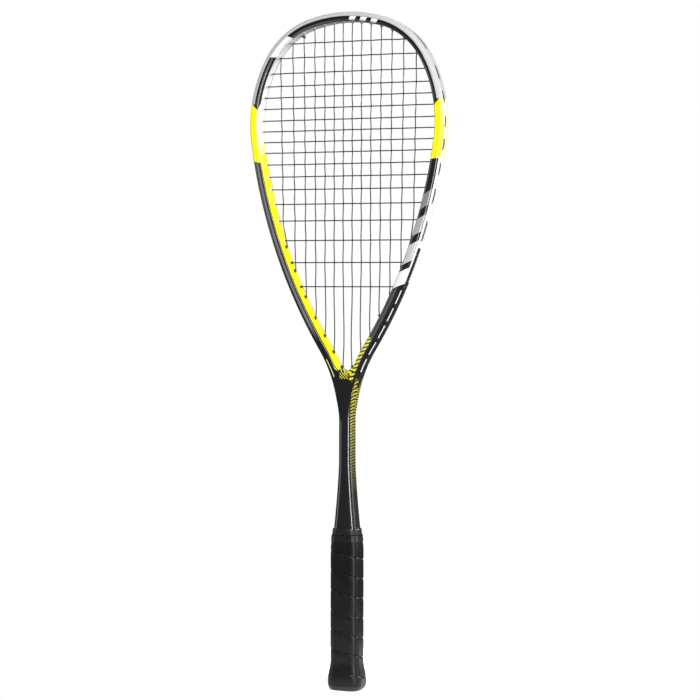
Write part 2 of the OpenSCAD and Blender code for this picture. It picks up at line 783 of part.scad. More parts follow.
module grip() {
    color([0.1, 0.1, 0.1])
        difference() {
            loft([for (z = concat([lip_h + fit_gap], grip_zs))
                butt_ring(z, grip_t)]);
            loft([for (z = concat([lip_h - 1], grip_zs, [grip_top + 1]))
                butt_ring(z, loft_gap)]);
            grip_staple_wire(fit_gap);
        }
}

tape_t = 0.35;
tape_h = 6.5;
module finishing_tape() {
    color([0.08, 0.08, 0.08])
        difference() {
            loft([for (z = steps(grip_top - tape_h, grip_top, 3))
                butt_ring(z, grip_t + loft_gap + tape_t)]);
            loft([for (z = steps(grip_top - tape_h - 1, grip_top + 1, 3))
                butt_ring(z, grip_t + loft_gap)]);
        }
}

collar_t = 1.3;
collar_h = 6.5;
module collar() {
    color([0.07, 0.07, 0.07])
        difference() {
            loft([for (z = [grip_top + fit_gap, grip_top + 0.8, grip_top + collar_h - 1, grip_top + collar_h])
                let (
                    hem = z == grip_top + 0.8 || z == grip_top + collar_h - 1 ? 0 : -0.3,
                    grow = collar_t + hem
                )
                ring(z, min(flare_w / 2, shaft_hx(max(z, handle_len))) + grow,
                    min(flare_d / 2, shaft_hy(max(z, handle_len))) + grow, pallet_r + grow)]);
            loft([for (z = concat([grip_top - 1], flare_z))
                ring(z, shaft_hx(max(z, handle_len)) + loft_gap, shaft_hy(max(z, handle_len)) + loft_gap,
                    shaft_er(max(z, handle_len)))]);
        }
}

frame();
bumper_guard();
side_strip_left();
side_strip_right();
throat_strip_left();
throat_strip_right();
string();
string_knots();
end_plug();
handle_pallet();
butt_cap();
butt_badge();
cap_staples();
grip();
grip_staple();
collar();
finishing_tape();
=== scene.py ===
"""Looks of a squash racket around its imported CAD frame. Lengths are in mm until mesh() turns them into metres."""

import math

import bmesh
import bpy
from mathutils import Matrix, Vector


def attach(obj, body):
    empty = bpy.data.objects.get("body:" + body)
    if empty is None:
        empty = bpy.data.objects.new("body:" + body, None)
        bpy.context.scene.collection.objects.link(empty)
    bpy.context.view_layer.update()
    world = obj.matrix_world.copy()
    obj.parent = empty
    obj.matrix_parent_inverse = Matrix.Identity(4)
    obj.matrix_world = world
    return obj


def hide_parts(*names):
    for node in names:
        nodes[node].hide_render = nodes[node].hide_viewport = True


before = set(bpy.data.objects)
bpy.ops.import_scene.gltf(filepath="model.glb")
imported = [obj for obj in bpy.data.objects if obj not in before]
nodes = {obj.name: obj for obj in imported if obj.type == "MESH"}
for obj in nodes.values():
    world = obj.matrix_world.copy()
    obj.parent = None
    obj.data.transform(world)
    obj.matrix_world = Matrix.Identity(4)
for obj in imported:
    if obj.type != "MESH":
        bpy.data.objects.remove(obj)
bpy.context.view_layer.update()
MM = 0.001

# ---- Sizes, as in the CAD source ----
RACKET_LEN = 686
RADII = [139.2, 81.5, 141.7, 541]
ENDS = [16.5, 62, 98]
YOKE_R = 138
BEAM_W, BEAM_D, BEAM_R = 9.5, 20.5, 4
CROTCH_R = 11
SHAFT_W, SHAFT_D, SHAFT_R = 14.6, 18.5, 6.5
FLARE_TOP, FLARE_EASE = 232, 1.35
HANDLE_LEN, PALLET_W, PALLET_D, PALLET_R = 160, 28.2, 23.2, 7.5
TOP_TAPER, TAPER_LEN = 1.2, 18
FLARE_W, FLARE_D = PALLET_W - 2 * TOP_TAPER + 0.4, PALLET_D - 2 * TOP_TAPER + 0.4
GRIP_T, BUTT_SWELL, LIP_H = 1.4, 2.8, 5
SWELL_Z, SWELL_TOP, FOOT_IN = 9, 30, 4.2
STRING_D = 1.25
MAIN_PITCH, MAIN_SPREAD, MAIN_FAN, OUTER_TUCK = 9.8, 0.032, 0.004, 2.7
FIRST_CROSS = 29
CROSS_GAPS = [14.5, 15.5, 13, 11.5, 11.5, 12, 11, 11, 11, 12, 12.5, 13, 15, 17, 20, 22.5, 24.5]
CHANNEL_D, CHANNEL_W, STRIP_T, FIT_GAP = 1.5, 7, 0.8, 0.08
BARREL_OUT, BUMPER_REACH, BUMPER_END = 1.4, 4.6, 81
MAINS, CROSSES = 7, len(CROSS_GAPS) + 1
STRING_R = STRING_D / 2
STRING_N = -CHANNEL_D + STRING_R + 0.05
TIP_N = -BEAM_W - BARREL_OUT
FAN_Z = RACKET_LEN - 126


# ---- Outline of the head: the same tangent arcs as the CAD ----
def unit_at(a):
    return Vector((math.sin(math.radians(a)), math.cos(math.radians(a))))


CENTRES = [Vector((0, RACKET_LEN - RADII[0]))]
for i in range(3):
    CENTRES.append(CENTRES[i] + (RADII[i] - RADII[i + 1]) * unit_at(ENDS[i]))
THROAT_END = 180 - math.degrees(math.asin((SHAFT_W / 2 - CENTRES[3].x + YOKE_R) / (RADII[3] + YOKE_R)))
YOKE_C = CENTRES[3] + (RADII[3] + YOKE_R) * unit_at(THROAT_END)
YOKE_END = 2 * THROAT_END - 90
SHAFT_TOP = YOKE_C.y
# The shaft reaches the tube's depth and edge radius at this height.
JOINT_LOW = SHAFT_TOP + 28


def turn(s):
    return s if s <= THROAT_END else 2 * THROAT_END - s


def normal(s):
    return unit_at(turn(s))


def arc_no(s):
    return sum(s >= e for e in ENDS)


def at(s, n):
    """Point at station s, n mm outside the outline."""
    if s > THROAT_END:
        return YOKE_C - (YOKE_R - n) * normal(s)
    return CENTRES[arc_no(s)] + (RADII[arc_no(s)] + n) * normal(s)


def radius_at(s):
    return YOKE_R if s > THROAT_END else RADII[arc_no(s)]


def arc_mm(s):
    """Length of the outline from the tip to station s."""
    total, low = 0, 0
    for high, r in zip(ENDS + [THROAT_END, 999], RADII + [YOKE_R]):
        total += (min(max(s, low), high) - low) * math.pi / 180 * r
        low = high
    return total


def along(s, mm):
    return s + math.degrees(mm / radius_at(s))


def seek(f, lo, hi):
    for _ in range(40):
        mid = (lo + hi) / 2
        lo, hi = (lo, mid) if f(mid) > 0 else (mid, hi)
    return (lo + hi) / 2


def mix(a, b, t):
    return a + (b - a) * t


def ease(t):
    t = min(max(t, 0), 1)
    return t * t * (3 - 2 * t)


CROTCH_S = seek(lambda s: -at(s, -BEAM_W - CROTCH_R).x, ENDS[2], YOKE_END)
CROTCH_Z = at(CROTCH_S, -BEAM_W - CROTCH_R).y
STEEPEST = 150


def at_in(s, n):
    """As at(), with the throat arc running straight on past its end."""
    return CENTRES[3] + (RADII[3] + n) * unit_at(s) if s > ENDS[2] else at(s, n)


# ---- Shaft and butt sections at a height ----
def flare_t(z):
    return (max(FLARE_TOP - z, 0) / (FLARE_TOP - HANDLE_LEN)) ** FLARE_EASE


def joint_t(z):
    return ease((z - SHAFT_TOP) / (JOINT_LOW - SHAFT_TOP))


def half_depth(z):
    return mix(SHAFT_D, BEAM_D, joint_t(z)) / 2 if z > SHAFT_TOP else mix(SHAFT_D, FLARE_D, flare_t(z)) / 2


def edge_radius(z):
    return mix(SHAFT_R, BEAM_R, joint_t(z)) if z > SHAFT_TOP else mix(SHAFT_R, PALLET_R, flare_t(z))


def half_width(z):
    return mix(SHAFT_W, FLARE_W, flare_t(z)) / 2


def swell(z):
    return BUTT_SWELL * (1 - ease((z - SWELL_Z) / (SWELL_TOP - SWELL_Z)))


def taper(z):
    return TOP_TAPER * ease((z - HANDLE_LEN + TAPER_LEN) / TAPER_LEN)


def foot_round(z):
    return 0 if z >= SWELL_Z else FOOT_IN * (1 - math.sqrt(1 - (1 - z / SWELL_Z) ** 2))


def rounded(hx, hy, r, steps=12, flat=8):
    """Closed section through the left edge first, then the front (-Y), the right and the back."""
    corners = [(-hx + r, -hy + r, 180), (hx - r, -hy + r, 270), (hx - r, hy - r, 0), (-hx + r, hy - r, 90)]
    pts = []
    for cx, cy, a0 in corners:
        pts += [(cx + r * math.cos(math.radians(a0 + 90 * k / steps)),
                 cy + r * math.sin(math.radians(a0 + 90 * k / steps))) for k in range(steps + 1)]
    out = []
    for j, p in enumerate(pts):
        q = pts[(j + 1) % len(pts)]
        gap = math.dist(p, q)
        parts = flat if gap > 1.5 * r * math.pi / 2 / steps and gap > 1 else 1
        out += [(mix(p[0], q[0], k / parts), mix(p[1], q[1], k / parts)) for k in range(parts)]
    return out


# ---- Meshes ----
def mesh(name, verts, faces, smooth_below=32, attributes=None):
    """A piece from points in mm, with edges sharper than smooth_below degrees marked sharp."""
    data = bpy.data.meshes.new(name)
    data.from_pydata([[c * MM for c in v] for v in verts], [], faces)
    for key, values in (attributes or {}).items():
        data.attributes.new(key, "FLOAT", "POINT").data.foreach_set("value", values)
    bm = bmesh.new()
    bm.from_mesh(data)
    bmesh.ops.remove_doubles(bm, verts=bm.verts, dist=0.00001)
    bmesh.ops.dissolve_degenerate(bm, edges=bm.edges, dist=0.000005)
    bmesh.ops.recalc_face_normals(bm, faces=bm.faces)
    for e in bm.edges:
        e.smooth = len(e.link_faces) == 2 and e.calc_face_angle(0) < math.radians(smooth_below)
    for f in bm.faces:
        f.smooth = True
    bm.to_mesh(data)
    bm.free()
    piece = bpy.data.objects.new(name, data)
    bpy.context.scene.collection.objects.link(piece)
    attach(piece, "root")
    return piece


def grid_faces(rows, cols, start=0, closed=False):
    span = cols if closed else cols - 1
    return [[start + r * cols + c, start + r * cols + (c + 1) % cols,
             start + (r + 1) * cols + (c + 1) % cols, start + (r + 1) * cols + c]
            for r in range(rows - 1) for c in range(span)]


# ---- Frame tube: one quarter is built, then mirrored to the back and to the other side ----
CORNER_STEPS = 8
HOOP_STEP, STATION_STEP, SHAFT_STEP = 2.4, 0.9, 5
GROOVE_D = CHANNEL_D + STRIP_T + FIT_GAP
GROOVE_H = CHANNEL_W / 2 + STRIP_T + FIT_GAP
STEP_N = -BUMPER_REACH - FIT_GAP
BUMPER_IN = STRIP_T + FIT_GAP
# The outer side stays this much inside the CAD's, and EDGE is half an edge's width in stations.
EDGE_IN, EDGE = 0.03, 0.02
# How far below the crotch its fan of points ends on the outline.
FAN_DROP = 14
# Distances round the section, from the middle of the inner wall: to the front, across it, and to the outer side.
FRONT_Q = BEAM_D / 2 - BEAM_R + BEAM_R * math.pi / 2
ACROSS_Q = 1.5
SIDE_Q = FRONT_Q + ACROSS_Q + BEAM_R * math.pi / 2


def spread(a, b, step):
    """Values from a to b, no more than step apart."""
    n = max(1, math.ceil(abs(b - a) / step))
    return [mix(a, b, k / n) for k in range(n + 1)]


def hoop_stations():
    marks = [0] + ENDS + [THROAT_END]
    out = [BUMPER_END - EDGE, BUMPER_END + EDGE] + spread(THROAT_END, CROTCH_S, STATION_STEP)
    for low, high, r in zip(marks, marks[1:], RADII):
        out += spread(low, high, math.degrees(HOOP_STEP / r))[:-1]
    return sorted(set(out))


def tail_stations():
    return sorted(set(spread(CROTCH_S, YOKE_END, STATION_STEP)[1:] + [GROOVE_STOP, GROOVE_STOP + 2 * EDGE]))


def inner_at(s, d, fan):
    """The point d mm deep in the tube from its inner wall, along the hoop and then round the crotch."""
    if s <= CROTCH_S:
        return at(s, -BEAM_W + d)
    share = (fan.index(s) + 1) / len(fan)
    return Vector((0, CROTCH_Z)) + (CROTCH_R + d) * unit_at(mix(turn(CROTCH_S), 180, share))


def row_point(p, y, arc, off, around):
    return p.x, y, p.y, arc, off, around


def inner_row(s, fan):
    """The front half of the inner wall, and the inner corner."""
    flat = BEAM_D / 2 - BEAM_R
    profile = [(0, -flat * k / 4, flat * k / 4) for k in range(5)]
    for k in range(1, CORNER_STEPS + 1):
        t = math.pi / 2 * k / CORNER_STEPS
        profile.append((BEAM_R * (1 - math.cos(t)), -(flat + BEAM_R * math.sin(t)), flat + BEAM_R * t))
    return [row_point(inner_at(s, d, fan), y, arc_mm(s), -BEAM_W + d, q) for d, y, q in profile]


def outer_row(kind, v, fan):
    """The front, the outer corner, the outer side and the groove, at a station or at a height of the shaft."""
    on_hoop, on_shaft = kind == "hoop", kind == "shaft"
    z = v if on_shaft else at(v, 0).y
    arc = arc_mm(YOKE_END) + SHAFT_TOP - v if on_shaft else arc_mm(v)
    hy = BEAM_D / 2 if on_hoop else half_depth(z)
    er = BEAM_R if on_hoop else edge_radius(z)
    drop = BUMPER_IN if on_hoop and v < BUMPER_END else 0
    grooved = on_hoop or (kind == "tail" and v < GROOVE_STOP + EDGE)
    first = inner_at(v, BEAM_R, fan) if on_hoop or (kind == "tail" and v in fan) else Vector((0, z))

    def outside(n):
        return Vector((half_width(z) + n, z)) if on_shaft else at(v, n)

    edge = outside(-er)
    width = (edge - first).length

    def front(t):
        return row_point(first.lerp(edge, t), -hy, arc, mix(-er - width, -er, t), FRONT_Q + ACROSS_Q * t)

    if drop:
        # The front ends in a step down to the bumper's seat.
        seat = [(STEP_N - 0.1, 0, 0.7), (STEP_N, 0, 0.8), (STEP_N, drop, 0.9)]
        row = [front(0), front(0.25)]
        row += [row_point(at(v, n), down - hy, arc, n, FRONT_Q + q) for n, down, q in seat]
    else:
        row = [front(t) for t in (0, 0.25, 0.5, 0.75, 0.9)]
    for k in range(CORNER_STEPS + 1):
        t = math.pi / 2 * k / CORNER_STEPS
        p = outside(-er + (er - drop - EDGE_IN) * math.sin(t))
        y = hy - er + (er - drop) * math.cos(t)
        row.append(row_point(p, -y, arc, -er + (er - drop) * math.sin(t), FRONT_Q + ACROSS_Q + BEAM_R * t))
    floor = -GROOVE_D if grooved else -drop
    for n, y in ((-drop - EDGE_IN, GROOVE_H), (floor, GROOVE_H - 0.02), (floor, 0)):
        row.append(row_point(outside(n), -y, arc, n, SIDE_Q + hy - er - y))
    return row


def build_frame():
    hoop, tail = hoop_stations(), tail_stations()
    shaft = [SHAFT_TOP - d for d in spread(0, SHAFT_TOP - HANDLE_LEN, SHAFT_STEP)[1:]]
    # Each tail station down to fan_end is paired with a point round the crotch.
    fan_end = seek(lambda s: CROTCH_Z - CROTCH_R - FAN_DROP - at(s, 0).y, CROTCH_S, YOKE_END)
    fan = [s for s in tail if s < fan_end]
    inner = [inner_row(s, fan) for s in hoop + fan]
    outer = [outer_row(kind, v, fan) for kind, places in (("hoop", hoop), ("tail", tail), ("shaft", shaft))
             for v in places]
    points, faces = [], []
    for rows in (inner, outer):
        faces += grid_faces(len(rows), len(rows[0]), len(points))
        points += [p for row in rows for p in row]
    verts = [p[:3] for p in points]
    for flip_x, flip_y in ((1, -1), (-1, 1)):
        start = len(verts)
        verts += [(flip_x * x, flip_y * y, z) for x, y, z in verts]
        faces += [[v + start for v in f][::-1] for f in faces]
    arc, off, around = ([p[k] for p in points] * 4 for k in (3, 4, 5))
    return mesh("frame_tube", verts, faces, 30, {"arc": arc, "off": off, "around": around})


# ---- String route, as in the CAD ----
def cross_z(k):
    return RACKET_LEN - FIRST_CROSS - sum(CROSS_GAPS[:k - 1])


def main_x(i, z):
    u = i - 0.5
    tuck = OUTER_TUCK * max(0, (cross_z(15) - z) / (cross_z(15) - cross_z(16))) if i == MAINS else 0
    return (MAIN_PITCH * u + MAIN_SPREAD * u ** 3) * (1 + MAIN_FAN * u * (z - FAN_Z) / 100) - tuck


def string_end(s, pull):
    tip = at_in(s, TIP_N)
    d = (unit_at(s) + pull).normalized()

    def side(q):
        v = at(q, STRING_N) - tip
        return v.x * d.y - v.y * d.x

    out = seek(side, max(s - 12, 0.1), min(s + 16, YOKE_END))
    return tip, d, out, at(out, STRING_N)


main_top = [string_end(seek(lambda s, i=i: at(s, TIP_N).x - main_x(i, at(s, TIP_N).y), 0, 80), Vector((0, 1)))
            for i in range(1, MAINS + 1)]
main_low = [string_end(seek(lambda s, i=i: main_x(i, at_in(s, TIP_N).y) - at_in(s, TIP_N).x, ENDS[2], STEEPEST),
                       Vector((0, -1))) for i in range(1, MAINS + 1)]
cross_end = [string_end(seek(lambda s, k=k: cross_z(k) - at(s, TIP_N).y, 10, THROAT_END), Vector((1, 0)))
             for k in range(1, CROSSES + 1)]


def tie_end(s):
    return string_end(s, normal(s))


TIE_OFFSET, TOP_TIE_MAIN, LOW_TIE_MAIN = 5.5, 5, 4
top_tie = tie_end(along(main_top[TOP_TIE_MAIN - 1][2], TIE_OFFSET))
low_tie = tie_end(along(main_low[LOW_TIE_MAIN - 1][2], -TIE_OFFSET))
MAIN_LANE, CROSS_LANE, LONG_LANE, MEET_GAP = -1.4, 1.4, 2.8, 0.8
TURN_MM, LANE_RUN, LANE_STEP = [0.7, 2, 3.6], 3.4, 5
KNOT_R, KNOT_MM = 1.7, 2.2
# The string channel ends just below the lowest hole.
GROOVE_STOP = along(main_low[0][2], 4) + 1


def put3(p, side, y=0):
    return Vector((side * p.x, y, p.y))


def columns_meet(i, k):
    z = cross_z(k)
    return (main_low[i - 1][0].y + MEET_GAP < z < main_top[i - 1][0].y - MEET_GAP
            and main_x(i, z) < cross_end[k - 1][0].x - MEET_GAP)


def crossing(i, side, k, sign):
    over = 1 if ((i - 1 if side > 0 else MAINS + i) + k) % 2 == 0 else -1
    return Vector((side * main_x(i, cross_z(k)), sign * STRING_R * over, cross_z(k)))


def main_run(i, side):
    return ([put3(main_low[i - 1][0], side)]
            + [crossing(i, side, k, 1) for k in range(CROSSES, 0, -1) if columns_meet(i, k)]
            + [put3(main_top[i - 1][0], side)])


def cross_run(k):
    return ([put3(cross_end[k - 1][0], -1)]
            + [crossing(i, -1, k, -1) for i in range(MAINS, 0, -1) if columns_meet(i, k)]
            + [crossing(i, 1, k, -1) for i in range(1, MAINS + 1) if columns_meet(i, k)]
            + [put3(cross_end[k - 1][0], 1)])


def mouth(e, side):
    return put3(e[3] - 0.55 * e[1], side)


def lane_y(t, lane):
    return lane * ease(t / LANE_RUN)


def loop(a, b, side, lane_a, lane_b):
    sa, sb = a[2], b[2]
    length = math.radians(abs(sb - sa)) * radius_at((sa + sb) / 2)
    middle = length - 2 * TURN_MM[2]
    inner = max(1, math.floor(middle / LANE_STEP))
    marks = (TURN_MM + [TURN_MM[2] + middle * j / (inner + 1) for j in range(1, inner + 1)]
             + [length - t for t in reversed(TURN_MM)])
    pts = [put3(at(mix(sa, sb, m / length), STRING_N), side,
                lane_y(min(m, length - m), mix(lane_a, lane_b, ease(3 * m / length - 1)))) for m in marks]
    return [mouth(a, side)] + pts + [mouth(b, side)]


def crown_loop(e):
    reach = math.radians(e[2]) * RADII[0]
    half = [(m, put3(at(mix(e[2], 0, m / reach), STRING_N), 1, lane_y(m, MAIN_LANE)))
            for m in (TURN_MM[0], TURN_MM[1], reach)]
    other = [Vector((-p.x, p.y, p.z)) for m, p in reversed(half[:-1])]
    return [mouth(e, 1)] + [p for m, p in half] + other + [mouth(e, -1)]


def route():
    low_tip, top_tip = put3(low_tie[0], 1), put3(top_tie[0], -1)

    def knot_on(tip, following):
        return tip + KNOT_MM * (following - tip).normalized()

    low_run, top_run = main_run(LOW_TIE_MAIN, 1), main_run(TOP_TIE_MAIN, -1)[::-1]
    low_knot, top_knot = knot_on(low_run[0], low_run[1]), knot_on(top_run[0], top_run[1])

    def stop(tip, knot):
        return knot + (KNOT_R - 0.3) * (tip - knot).normalized()

    pts = [stop(low_tip, low_knot), low_tip] + loop(low_tie, main_low[MAINS - 1], 1, LONG_LANE, LONG_LANE)
    for i in range(MAINS, 0, -1):
        pts += main_run(i, 1) if i % 2 else main_run(i, 1)[::-1]
        if i > 1:
            ends = main_top if i % 2 else main_low
            pts += loop(ends[i - 1], ends[i - 2], 1, MAIN_LANE, MAIN_LANE)
    pts += crown_loop(main_top[0])
    for i in range(1, MAINS + 1):
        pts += main_run(i, -1)[::-1] if i % 2 else main_run(i, -1)
        if i < MAINS:
            ends = main_low if i % 2 else main_top
            pts += loop(ends[i - 1], ends[i], -1, MAIN_LANE, MAIN_LANE)
    pts += loop(main_low[MAINS - 1], cross_end[CROSSES - 1], -1, MAIN_LANE, CROSS_LANE)
    for k in range(CROSSES, 0, -1):
        pts += cross_run(k)[::-1] if k % 2 else cross_run(k)
        if k > 1:
            pts += loop(cross_end[k - 1], cross_end[k - 2], -1 if k % 2 else 1, CROSS_LANE, CROSS_LANE)
    pts += loop(cross_end[0], top_tie, -1, CROSS_LANE, CROSS_LANE) + [top_tip, stop(top_tip, top_knot)]
    return pts


def smooth_line(pts, longest):
    """A cubic through every point, with short tangents so that it doesn't swing wide."""
    out = []
    for j in range(len(pts) - 1):
        a, b = pts[j], pts[j + 1]
        span = (b - a).length
        before = pts[j - 1] if j else a
        after = pts[j + 2] if j + 2 < len(pts) else b
        ta = (b - before).normalized() * span
        tb = (after - a).normalized() * span
        n = max(1, min(4, math.ceil(span / longest)))
        for k in range(n):
            t = k / n
            out.append((2 * t ** 3 - 3 * t * t + 1) * a + (t ** 3 - 2 * t * t + t) * ta
                       + (3 * t * t - 2 * t ** 3) * b + (t ** 3 - t * t) * tb)
    return out + [pts[-1]]


def tube(name, line, r, sides, replaced):
    verts, length = [], []
    up = Vector((0, 1, 0))
    run = 0
    for j, p in enumerate(line):
        before, after = line[max(j - 1, 0)], line[min(j + 1, len(line) - 1)]
        t = (after - before).normalized()
        run += (p - before).length
        side = t.cross(up).normalized()
        top = side.cross(t)
        for k in range(sides):
            a = 2 * math.pi * k / sides
            verts.append(p + r * (math.cos(a) * side - math.sin(a) * top))
            length.append(run)
    faces = grid_faces(len(line), sides, closed=True)
    faces += [list(range(sides))[::-1], [len(verts) - sides + k for k in range(sides)]]
    piece = mesh(name, verts, faces, 60, {"along": length})
    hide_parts(*replaced)
    return piece


# ---- Material graphs ----
class Graph:
    """A Principled material, with small helpers that take numbers or sockets."""

    def __init__(self, name, **settings):
        self.material = bpy.data.materials.new(name)
        self.material.use_nodes = True
        self.tree = self.material.node_tree
        self.shader = self.tree.nodes["Principled BSDF"]
        for key, value in settings.items():
            self.shader.inputs[key.replace("_", " ")].default_value = value

    def node(self, kind, inputs=(), **props):
        n = self.tree.nodes.new(kind)
        for key, value in props.items():
            setattr(n, key, value)
        for key, value in dict(inputs).items():
            self.join(value, n.inputs[key])
        return n

    def join(self, value, socket):
        if isinstance(value, bpy.types.NodeSocket):
            self.tree.links.new(value, socket)
        elif isinstance(value, (tuple, list)) and len(value) == 3 and socket.type == "RGBA":
            socket.default_value = (*value, 1)
        else:
            socket.default_value = value

    def math(self, op, a, b=0.0, c=0.0):
        return self.node("ShaderNodeMath", {0: a, 1: b, 2: c}, operation=op).outputs[0]

    def add(self, a, b):
        return self.math("ADD", a, b)

    def mul(self, a, b):
        return self.math("MULTIPLY", a, b)

    def step(self, x, edge, soft=0.12):
        """0 below the edge and 1 above it."""
        d = self.math("SUBTRACT", x, edge)
        return self.node("ShaderNodeMapRange", {0: d, 1: -soft, 2: soft}, interpolation_type="SMOOTHSTEP").outputs[0]

    def below(self, x, edge, soft=0.12):
        return self.math("SUBTRACT", 1.0, self.step(x, edge, soft))

    def band(self, x, low, high, soft=0.12):
        return self.mul(self.step(x, low, soft), self.below(x, high, soft))

    def mix(self, t, a, b):
        n = self.node("ShaderNodeMix", data_type="RGBA")
        self.join(t, n.inputs[0])
        self.join(a, n.inputs[6])
        self.join(b, n.inputs[7])
        return n.outputs[2]

    def fade(self, x, a, b, lo=0.0, hi=1.0):
        return self.node("ShaderNodeMapRange", {0: x, 1: a, 2: b, 3: lo, 4: hi}).outputs[0]

    def attribute(self, name):
        return self.node("ShaderNodeAttribute", attribute_name=name).outputs["Fac"]

    def place(self):
        return self.node("ShaderNodeTexCoord").outputs["Object"]

    def xyz(self):
        return self.node("ShaderNodeSeparateXYZ", {0: self.place()}).outputs

    def noise(self, scale, detail=2.0, rough=0.5, stretch=(1, 1, 1)):
        m = self.node("ShaderNodeMapping", {0: self.place(), 3: stretch})
        return self.node("ShaderNodeTexNoise", {0: m.outputs[0], "Scale": scale, "Detail": detail,
                                                "Roughness": rough}).outputs[0]

    def bump(self, height, distance, strength=1.0, chain=None):
        n = self.node("ShaderNodeBump", {"Height": height, "Distance": distance, "Strength": strength})
        if chain is not None:
            self.join(chain, n.inputs["Normal"])
        return n.outputs[0]

    def finish(self, colour=None, roughness=None, bump=None):
        for key, value in (("Base Color", colour), ("Roughness", roughness), ("Normal", bump)):
            if value is not None:
                self.join(value, self.shader.inputs[key])
        return self.material


def grey(v):
    return (v, v, v)


BLACK, YELLOW, GOLD, WHITE = (0.009, 0.009, 0.011), (0.93, 0.87, 0.0), (0.8, 0.6, 0.0), (0.86, 0.86, 0.86)
WALL_WHITE, MARK_YELLOW, SADDLE_YELLOW = (0.8, 0.8, 0.81), (0.7, 0.66, 0.02), (0.7, 0.66, 0.05)
HATCH_YELLOW, LINE_YELLOW = (0.62, 0.56, 0.03), (0.8, 0.8, 0.3)
# Slanted blocks down the right side: from, to and how pale.
GREY_BLOCKS = [(241.6, 257.3, 0.2), (267.4, 285.4, 0.33), (294.9, 316, 0.47), (323.8, 341.9, 0.72)]


class PaintPlace:
    """Where a point of the frame is: mm along the outline, mm outside it, mm round the section, and mm in space."""

    def __init__(self, g):
        self.far, self.off, self.around = g.attribute("arc"), g.attribute("off"), g.attribute("around")
        x, y, z = g.xyz()
        # The front's right half carries positive distances, and so does the back's right half seen from behind.
        front = g.math("SIGN", g.mul(y, -1))
        facing = g.mul(g.math("SIGN", x), front)
        self.arc = g.mul(self.far, facing)
        self.right = g.step(facing, 0.0, 0.4)
        self.left = g.math("SUBTRACT", 1.0, self.right)
        self.slant = g.add(self.far, g.mul(self.off, 1.05))
        self.x = g.mul(x, 1000)
        self.z = g.mul(z, 1000)
        self.across = g.mul(self.x, front)

    def line(self, g, slope):
        """A distance along the outline that slants across the tube."""
        return g.add(self.arc, g.mul(self.off, slope))


def paint_highlights_and_shade(g, p, colour):
    """Painted light on the black parts: a grey streak down the middle and a grey line on the crown as painted
    highlights, and dark grey on the crown's inner corner as painted shade.
    """
    # Painted highlight: a lighter grey streak down the middle of the front, standing in for a reflection, fainter on
    # the right.
    centre = g.band(p.off, -6.1, -3.6, 0.7)
    highlight_streak = g.mul(g.band(p.arc, -400, -160, 12), centre)
    highlight_streak = g.add(highlight_streak, g.mul(g.mul(g.band(p.arc, 345, 440, 8), centre), 0.45))
    colour = g.mix(highlight_streak, colour, grey(0.16))
    # Painted highlight: a thin grey line along the left part of the crown's black band.
    crown_highlight_line = g.mul(g.band(p.arc, -152, -98, 3), g.band(p.off, -8.0, -6.6, 0.4))
    colour = g.mix(crown_highlight_line, colour, grey(0.11))
    # Painted shade: dark grey on the crown's inner corner, between the black front and the pale inner wall.
    crown_corner_shade = g.mul(g.band(p.arc, -66, 140, 3), g.below(p.off, -7.6, 0.3))
    return g.mix(crown_corner_shade, colour, grey(0.055))


def paint_panels(g, p, colour):
    """The slanted grey blocks, the white panel and the three white bars on the crown."""
    for low, high, tone in GREY_BLOCKS:
        colour = g.mix(g.mul(g.band(p.slant, low, high), p.right), colour, grey(tone))
    panel = g.mul(g.band(p.line(g, 0.8), -103, -73), g.below(p.off, -4.9, 0.1))
    bars = g.mul(g.below(g.math("PINGPONG", p.line(g, -0.5), 6.2), 3.4), g.band(p.arc, 1, 38, 0.5))
    bars = g.mul(bars, g.band(p.off, -8.9, -4.9, 0.1))
    return g.mix(g.math("MAXIMUM", panel, bars), colour, WHITE)


def paint_throat(g, p, colour):
    """Yellow bars on the right side, stripes on the saddle, a hatch down the shaft's edge and a thin line."""
    bars = g.below(g.math("PINGPONG", p.line(g, 0.9), 2.3), 1.25)
    bars = g.mul(g.mul(bars, g.band(p.arc, 406, 454, 0.6)), g.band(p.off, -8.6, -4.2, 0.15))
    colour = g.mix(bars, colour, MARK_YELLOW)
    saddle = g.mul(g.band(p.z, 316.5, 330, 0.4), g.band(p.across, -4.5, 5, 0.3))
    saddle = g.mul(saddle, g.below(g.math("PINGPONG", g.add(p.across, p.z), 1.5), 0.5))
    colour = g.mix(saddle, colour, SADDLE_YELLOW)
    hatch = g.below(g.math("PINGPONG", g.math("SUBTRACT", p.across, p.z), 1.5), 0.75)
    hatch = g.mul(g.mul(hatch, g.band(p.far, 450, 620, 1.5)), g.step(p.off, -1.4, 0.4))
    hatch = g.mul(hatch, g.step(p.x, 0.0, 0.2))
    colour = g.mix(g.mul(hatch, g.fade(p.z, 200, 300, 0.0, 0.75)), colour, HATCH_YELLOW)
    thin = g.band(g.add(p.off, g.mul(p.arc, -0.06)), 21.9, 22.7, 0.15)
    return g.mix(g.mul(g.band(p.arc, -449, -430, 0.8), thin), colour, LINE_YELLOW)


